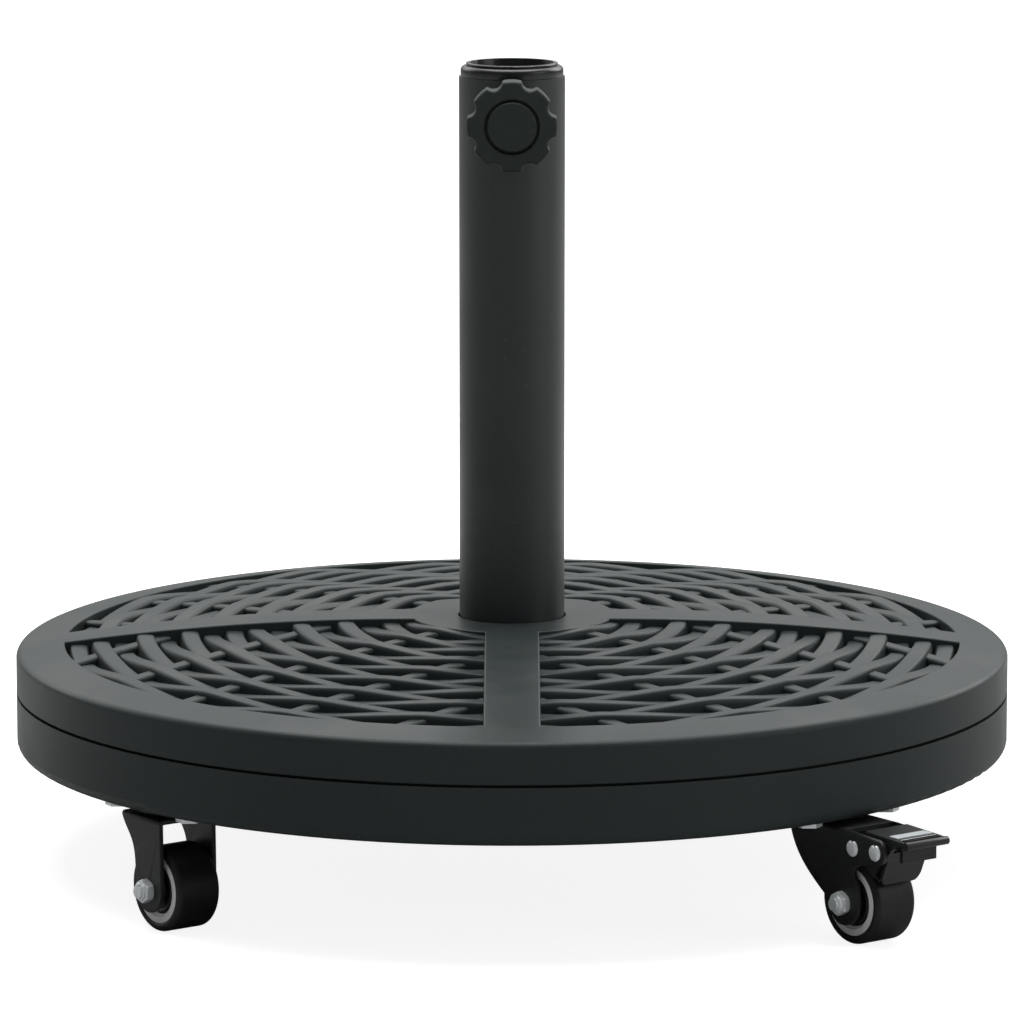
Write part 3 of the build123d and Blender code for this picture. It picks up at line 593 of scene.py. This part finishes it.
def stakeSpan(offset, buried):
    # where a stake parallel to the sector's diagonal ends in the hub, the spokes and the border
    outer = math.sqrt((weaveOut + buried) ** 2 - offset ** 2)
    inner = math.sqrt(max((weaveIn - buried) ** 2 - offset ** 2, 0.0))
    wall = coverSet["spokeWidth"] / 2 - buried
    return max(inner, abs(offset) + wall * math.sqrt(2)), outer


def buildStakes(look):
    points, faces = [], []
    half, side = look["stakeHalf"], look["stakeSide"]
    for quarter in range(4):
        turn = Matrix.Rotation(quarter * math.pi / 2 + math.pi / 4, 3, "Z")
        for place in range(-side, side + 1):
            offset = place * look["stakePitch"]
            near, far = stakeSpan(offset, look["buried"])
            count = max(6, round((far - near) / look["stakeStep"]))
            start = len(points)
            for step in range(count + 1):
                along = near + (far - near) * step / count
                radius = math.hypot(along, offset)
                dome = domeHeight(radius)
                top = dome - dip(radius, look["stakeOut"], look["stakeMid"])
                floor = dome - coverSet["recess"] - look["sink"]
                section = [(half, floor)] + roundCorner(half, top, look["stakeEdge"])
                section = [(-y, z) for y, z in section] + section[::-1]
                points += [tuple(turn @ Vector((along, offset + y, z))) for y, z in section]
            faces += barFaces(count + 1, len(section), start)
    addPiece("wicker_stakes", points, flipped(faces), "base", "shell_plastic", ["top_cover"])


buildRings(wickerSet)
buildStakes(wickerSet)
print("wicker built")


# turned and lobed pieces round an axis
def placedAlong(origin, axis):
    # turns a piece made round +Z so that it stands at the origin and points along the axis
    return Matrix.Translation(origin) @ Vector(axis).to_track_quat("Z", "Y").to_matrix().to_4x4()


def windsRight(rows):
    # whether the rows run clockwise, with the radius to the right and the height up
    return sum(a[0] * b[1] - b[0] * a[1] for a, b in zip(rows, rows[1:] + rows[:1])) < 0


def turnedPiece(name, rows, place, body, slot, stands, steps=96, outline=None, sharp=35.0):
    # rows of (radius, height) that close on themselves; the outline may change a radius by its angle
    points = []
    for row, (radius, height) in enumerate(rows):
        for step in range(steps):
            angle = 2 * math.pi * step / steps
            reach = outline(row, radius, angle) if outline else radius
            points.append(tuple(place @ Vector((reach * math.cos(angle), reach * math.sin(angle), height))))
    faces = loftFaces(len(rows), steps, closed=True)
    addPiece(name, points, flipped(faces) if windsRight(rows) else faces, body, slot, stands, sharp)


def stepped(radius, height, steps):
    # rows from steps in millimetres: (out from the radius, down from the height)
    return [(radius + out * mm, height - down * mm) for out, down in steps]


def both(rows):
    # mirrors rows of one half of a wheel onto the other
    return rows + [(radius, -height) for radius, height in reversed(rows)]


def jointPlace(name):
    joint = joints[name]
    return Vector(joint["pos_m"]), Vector(joint["axis"])


# caster wheels: black tread, pale ring and a black shield inside it
wheelSet = {
    "treadRadius": 20.0 * mm,
    "half": 11.5 * mm,
    "steps": 128,
    "treadEdge": 2.5 * mm,
    "ringRadius": 16.0 * mm,
    "ringInside": 11.7 * mm,
    "ringInset": 0.3 * mm,
    "ringTaper": 0.2 * mm,
    "ringWaist": 2.8 * mm,
    "partingLine": 0.12 * mm,
    "shieldRadius": 11.1 * mm,
    "shieldWaist": 2.0 * mm,
    "bossRadius": 5.4 * mm,
    "bore": 4.15 * mm,
    # steps of the three sections in mm: (out from a radius, down from the face)
    "treadLip": ((0.0, 1.1), (0.1, 0.6), (0.5, 0.2), (1.1, 0.0)),
    "ringLip": ((0.0, 1.6), (0.5, 1.2), (1.0, 0.9), (1.2, 0.2), (1.5, 0.0)),
    "ringRim": ((-0.5, 0.0), (-0.1, 0.2), (0.0, 0.6)),
    "shieldBoss": ((0.0, 0.2), (0.4, 0.6), (0.8, 2.0)),
    "shieldRim": ((-1.6, 2.2), (-1.2, 1.9), (-1.0, 1.2), (-0.5, 0.95), (-0.1, 1.3), (0.0, 2.2)),
}


def buildWheel(name, look):
    centre, axis = jointPlace("roll_" + name)
    place = placedAlong(centre, axis)
    body = "wheel_" + name
    tread, half, ring = look["treadRadius"], look["half"], look["ringRadius"]
    line = look["partingLine"]
    outer = stepped(ring, half, look["treadLip"])
    outer += roundCorner(tread, half, look["treadEdge"], 8)[::-1]
    outer += [(tread, 3 * line), (tread - line, line)]
    tyre, core = ["tyre_" + name], ["wheel_core_" + name]
    turnedPiece("tyre_tread_" + name, both(outer), place, body, "tyre_rubber", tyre, look["steps"])
    face, inside = half - look["ringInset"], look["ringInside"]
    pale = [(inside - look["ringTaper"], look["ringWaist"])] + stepped(inside, face, look["ringLip"])
    pale += stepped(ring, face, look["ringRim"])
    # the ring's pale colour is partly its own light grey and partly painted light, raised against the shade under
    # the shell
    turnedPiece("wheel_ring_" + name, both(pale), place, body, "core_plastic", core, look["steps"])
    shield, boss = look["shieldRadius"], stepped(look["bossRadius"], half, look["shieldBoss"])
    cover = [(look["bore"], boss[0][1])] + boss + stepped(shield, half, look["shieldRim"])
    cover += [(shield, look["shieldWaist"])]
    turnedPiece("wheel_shield_" + name, both(cover), place, body, "black_steel", core, look["steps"])


for name in casterNames:
    buildWheel(name, wheelSet)
print("wheels built:", len(casterNames))


# lock nuts with a round collar, and rivets with a notched head
fastenerSet = {
    "nutFlats": 10.0 * mm,
    "nutHex": 3.7 * mm,  # height of the hexagon
    "nutHeight": 5.2 * mm,
    "nutChamfer": 0.5 * mm,
    "nutFace": 0.9,  # share of the corner's reach where the chamfer starts
    "nutCollar": 4.1 * mm,
    "nutRound": 0.6 * mm,
    "nutBore": 3.05 * mm,
    "boreEdge": 0.3 * mm,
    "collarFoot": ((0.1, -0.15), (0.0, -0.4)),  # steps from the hexagon's face
    "rivetRadius": 3.8 * mm,
    "rivetHeight": 1.4 * mm,
    "rivetShank": 2.5 * mm,
    "rivetEdge": 0.15 * mm,
    "rivetDome": ((1.0, 0.7), (0.93, 0.38), (0.78, 0.14), (0.5, 0.02)),  # shares of radius and height
    "notchFrom": 2.75 * mm,
    "notchDepth": 1.3 * mm,
    "notchHalf": 14.0,  # degrees
    "forkHalf": 15.7 * mm,  # half the width over a fork's legs
}


def hexReach(flats, radius, angle):
    turn = (angle + math.pi / 6) % (math.pi / 3) - math.pi / 6
    return min(radius, flats / 2 / math.cos(turn))


def buildNut(name, look):
    centre = jointPlace("roll_" + name)[0]
    low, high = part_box("axle_nut_" + name)
    middle, height = (low + high) / 2, look["nutHeight"]
    away = (middle - centre).normalized()
    place = placedAlong(middle - away * height / 2, away)
    corner, hexagon, chamfer = look["nutFlats"] / math.sqrt(3), look["nutHex"], look["nutChamfer"]
    collar, bore, edge = look["nutCollar"], look["nutBore"], look["boreEdge"]
    face = corner * look["nutFace"]
    rows = [(bore, 0.0), (face, 0.0), (corner, chamfer), (corner, hexagon - chamfer), (face, hexagon)]
    rows += stepped(collar, hexagon, look["collarFoot"]) + roundCorner(collar, height, look["nutRound"])
    rows += [(bore + edge, height), (bore, height - edge)]

    def outline(row, radius, angle):
        return hexReach(look["nutFlats"], radius, angle)

    turnedPiece("lock_nut_" + name, rows, place, "fork_" + name, "zinc_steel", ["axle_nut_" + name],
                outline=outline)


def buildRivets(name, look):
    # heads on both sides of the fork, on one shank
    pivot, axis = jointPlace("brake_" + name)
    low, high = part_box("brake_pins_" + name)
    middle = (low + high) / 2
    stop = middle * 2 - pivot  # the pins lie evenly about the middle of their box
    radius, height = look["rivetRadius"], look["rivetHeight"]
    foot, outer = look["forkHalf"], look["forkHalf"] + height
    head = [(look["rivetShank"], foot), (radius - look["rivetEdge"], foot)]
    head += [(radius * out, outer - height * down) for out, down in look["rivetDome"]]
    head += [(axisGap, outer)]
    notch = math.radians(look["notchHalf"])

    def outline(row, reach, angle):
        off = abs((angle - upward + math.pi) % (2 * math.pi) - math.pi)
        if reach > look["notchFrom"] and off < notch:
            return min(reach, radius - look["notchDepth"] * math.sqrt(1 - (off / notch) ** 2))
        return reach

    for label, point in (("stop", stop), ("pivot", pivot)):
        place = placedAlong(point, axis)
        up = place.to_3x3().inverted() @ Vector((0, 0, 1))
        upward = math.atan2(up.y, up.x)
        turnedPiece(label + "_rivet_" + name, both(head), place, "fork_" + name, "zinc_steel",
                    ["brake_pins_" + name], outline=outline)


for name in casterNames:
    buildNut(name, fastenerSet)
for name in brakedNames:
    buildRivets(name, fastenerSet)
print("nuts and rivets built")


# pale line across each brake pedal, between the insert and the tip
lineSet = {
    "ahead": 5.5 * mm,  # insert's middle to the line's middle
    "drop": 0.35 * mm,  # the pedal slopes down to its tip
    "half": 0.75 * mm,
    "sink": 0.5 * mm,
    "soft": 0.3 * mm,
    "width": 21.0 * mm,
}


def buildLine(name, look):
    pivot, axis = jointPlace("brake_" + name)
    swivel = jointPlace("swivel_" + name)[0]
    low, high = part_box("brake_grip_" + name)
    forward = Vector((pivot.x - swivel.x, pivot.y - swivel.y, 0)).normalized()
    middle = (low + high) / 2 + forward * look["ahead"]
    top = high.z - look["drop"]
    half, soft = look["half"], look["soft"]
    section = [(half, top - look["sink"])] + roundCorner(half, top, soft, 2)
    section = [(-x, z) for x, z in section] + section[::-1]
    points = []
    for side, shrink in ((-1, soft / 2), (-1, 0), (1, 0), (1, soft / 2)):
        across = axis * side * (look["width"] / 2 - (0 if shrink else soft))
        for x, z in section:
            spot = middle + forward * x + across
            points.append((spot.x, spot.y, z - shrink * (z > section[0][1])))
    faces = barFaces(4, len(section))
    addPiece("pedal_line_" + name, points, faces, "brake_" + name, "grip_plastic", [])


for name in brakedNames:
    buildLine(name, lineSet)
print("pedal lines built")


# clamp knob: eight lobes, a sunk ring and a plain cap
knobSet = {
    "radius": 21.4 * mm,
    "lobes": 8,
    "notchRadius": 4.2 * mm,
    "notchDepth": 2.7 * mm,
    "blend": 0.9 * mm,  # rounding where a notch meets the rim
    "thick": 13.0 * mm,
    "edge": 1.5 * mm,
    "hubRadius": 9.5 * mm,
    "hubLength": 5.0 * mm,
    "capRadius": 11.7 * mm,
    "groove": 1.3 * mm,
    "pocket": 2.6 * mm,
    "capProud": 1.0 * mm,
    "capEdge": 0.9 * mm,
    "capDish": 0.03 * mm,
    "capGap": 0.05 * mm,  # under the cap
    "bore": 4.0 * mm,
    "steps": 256,
    # steps in mm: (out from a radius, down from a height)
    "hubEdge": ((-0.6, 0.0), (0.0, -0.6)),
    "hubNeck": ((0.0, 0.4), (0.4, 0.0)),
    "backEdge": ((-1.4, 0.0), (-0.5, -0.35), (0.0, -1.2)),
    "mouth": ((0.5, 0.0), (0.15, 0.12), (0.0, 0.45)),
}


def lobeReach(look, angle):
    # rim circle with scallops, softened where they meet
    pitch = 2 * math.pi / look["lobes"]
    turn = (angle + pitch / 2) % pitch - pitch / 2
    centre = look["radius"] + look["notchRadius"] - look["notchDepth"]
    across = centre * math.sin(abs(turn))
    if across >= look["notchRadius"]:
        scallop = look["radius"] + look["notchRadius"]
    else:
        scallop = centre * math.cos(turn) - math.sqrt(look["notchRadius"] ** 2 - across ** 2)
    gap = max(look["blend"] - abs(look["radius"] - scallop), 0.0) / look["blend"]
    return min(look["radius"], scallop) - gap * gap * look["blend"] / 4


def buildKnob(look):
    centre, axis = jointPlace("knob_turn")
    low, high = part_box("knob_grip")
    place = placedAlong(Vector((centre.x, high.y, centre.z)), -axis)
    back, face = look["hubLength"], look["hubLength"] + look["thick"]
    pocket, floor = look["capRadius"] + look["groove"], face - look["pocket"]
    hub, bore, rim = look["hubRadius"], look["bore"], look["radius"]
    neck = [(bore, 0.0)] + stepped(hub, 0.0, look["hubEdge"]) + stepped(hub, back, look["hubNeck"])
    side = stepped(rim, back, look["backEdge"]) + roundCorner(rim, face, look["edge"], 8)
    mouth = stepped(pocket, face, look["mouth"]) + [(pocket, floor), (bore, floor)]
    halfPitch = math.pi / look["lobes"]

    def outline(row, radius, angle):
        if len(neck) <= row < len(neck) + len(side):
            return lobeReach(look, angle - halfPitch) - (rim - radius)
        return radius

    turnedPiece("knob_body", neck + side + mouth, place, "knob", "knob_plastic", ["knob_grip"],
                look["steps"], outline, 50.0)
    cap, top, low = look["capRadius"], face + look["capProud"], floor + look["capGap"]
    disc = [(cap, low)] + roundCorner(cap, top, look["capEdge"], 6)
    disc += [(cap * 0.6, top - look["capDish"]), (cap * 0.2, top), (axisGap, top), (axisGap, low)]
    turnedPiece("knob_disc", disc, place, "knob", "knob_plastic", ["knob_cap"], look["steps"] // 2)


buildKnob(knobSet)
print("knob built")


# pressed and moulded parts keep their solids, with small rounded edges
edgeSet = {
    "fork": 0.45 * mm,
    "caster_plate": 0.4 * mm,
    "brake_lever": 0.4 * mm,
    "brake_pedal": 0.45 * mm,
    "brake_grip": 0.3 * mm,
    "axle_bolt": 0.35 * mm,
    "plate_bolts": 0.45 * mm,
    "clamp_boss": 0.4 * mm,
    "base_bolt": 0.4 * mm,
    "base_washer": 0.3 * mm,
    "reducer_sleeve": 0.12 * mm,
}
bevelSet = {
    "weld": 0.001 * mm,  # points this close are joined first
    "segments": 3,
    "angle": 38.0,  # degrees, from which an edge counts as sharp
}


def softenEdges(widths, look):
    count = 0
    for name, node in nodes.items():
        kind = next((label for label in widths if name.startswith(label)), None)
        if kind is None:
            continue
        weld = node.modifiers.new("weld", "WELD")
        weld.merge_threshold = look["weld"]
        bevel = node.modifiers.new("softEdge", "BEVEL")
        bevel.width = widths[kind]
        bevel.segments = look["segments"]
        bevel.limit_method = "ANGLE"
        bevel.angle_limit = math.radians(look["angle"])
        bevel.harden_normals = True
        count += 1
    return count


print("edges softened:", softenEdges(edgeSet, bevelSet))


# pale floor and plain soft light
studioSet = {
    "floorSize": 60.0,
    "floorColour": (0.45, 0.85),  # near and far
    "floorGlow": 0.88,  # share of white that the eye sees on the floor near the object
    "floorFade": (0.45, 1.2),  # where the floor turns plain white
    "worldSoft": 0.16,
    "worldFront": 0.08,
    "worldTurn": (-0.1, 0.85),  # from the dark front to the bright back
    "worldRise": (0.15, 0.5),
    "worldLevels": (0.42, 1.9),  # low and high in the back
    "lamps": {
        # name: (place, aim, size, power)
        "above": ((0.0, 0.2, 2.6), (0.0, 0.0, 0.1), 2.4, 76.0),
        "back_left": ((-1.9, 1.6, 1.4), (0.0, 0.0, 0.15), 1.6, 8.0),
        "back_right": ((1.9, 1.6, 1.4), (0.0, 0.0, 0.15), 1.6, 22.0),
        "front": ((2.5, -1.1, 1.1), (0.0, 0.0, 0.15), 1.6, 10.0),
    },
}


def buildFloor(look):
    half = look["floorSize"] / 2
    mesh = bpy.data.meshes.new("floor")
    corners = [(-half, -half, 0), (half, -half, 0), (half, half, 0), (-half, half, 0)]
    mesh.from_pydata(corners, [], [(0, 1, 2, 3)])
    floor = bpy.data.objects.new("floor", mesh)
    bpy.context.scene.collection.objects.link(floor)
    material = bpy.data.materials.new("floor_white")
    material.use_nodes = True
    tree = material.node_tree
    tree.nodes.clear()
    place = addNode(tree, "VectorMath", operation="LENGTH")
    tree.links.new(addNode(tree, "TexCoord").outputs["Object"], place.inputs[0])
    glow = ramp(tree, place.outputs["Value"], *look["floorFade"], look["floorGlow"], 1.0)
    seen = addNode(tree, "LightPath").outputs["Is Camera Ray"]
    diffuse = addNode(tree, "BsdfDiffuse")
    colour = ramp(tree, place.outputs["Value"], *look["floorFade"], *look["floorColour"])
    tree.links.new(colour, diffuse.inputs["Color"])
    light = addNode(tree, "Emission")
    tree.links.new(math2(tree, "MULTIPLY", glow, seen), light.inputs["Strength"])
    total = addNode(tree, "AddShader")
    tree.links.new(diffuse.outputs[0], total.inputs[0])
    tree.links.new(light.outputs[0], total.inputs[1])
    tree.links.new(total.outputs[0], addNode(tree, "OutputMaterial").inputs["Surface"])
    mesh.materials.append(material)


def buildWorld(look):
    world = bpy.data.worlds.new("studio")
    bpy.context.scene.world = world
    world.use_nodes = True
    tree = world.node_tree
    tree.nodes.clear()
    path = addNode(tree, "LightPath")
    shown = math2(tree, "MAXIMUM", path.outputs["Is Camera Ray"], path.outputs["Is Transmission Ray"])
    split = addNode(tree, "SeparateXYZ")
    tree.links.new(addNode(tree, "TexCoord").outputs["Generated"], split.inputs[0])
    behind = ramp(tree, split.outputs["Y"], *look["worldTurn"], look["worldFront"], 1.0)
    level = ramp(tree, split.outputs["Z"], *look["worldRise"], *look["worldLevels"])
    behind = math2(tree, "MULTIPLY", behind, level)
    plain = addNode(tree, "Mix", data_type="FLOAT")
    plug(tree, plain.inputs["Factor"], path.outputs["Is Glossy Ray"])
    plug(tree, plain.inputs["A"], look["worldSoft"])
    plug(tree, plain.inputs["B"], behind)
    strength = math2(tree, "MAXIMUM", plain.outputs["Result"], shown)
    light = addNode(tree, "Background")
    tree.links.new(strength, light.inputs["Strength"])
    tree.links.new(light.outputs[0], addNode(tree, "OutputWorld").inputs["Surface"])
    light.inputs["Color"].default_value = (1.0, 1.0, 1.0, 1.0)


def buildLamps(look):
    for name, (place, aim, size, power) in look["lamps"].items():
        data = bpy.data.lights.new(name, "AREA")
        data.size = size
        data.energy = power
        lamp = bpy.data.objects.new(name, data)
        lamp.location = place
        lamp.rotation_euler = (Vector(aim) - Vector(place)).to_track_quat("-Z", "Y").to_euler()
        bpy.context.scene.collection.objects.link(lamp)


buildFloor(studioSet)
buildWorld(studioSet)
buildLamps(studioSet)
bpy.context.scene.view_settings.view_transform = "Standard"
print("studio built")
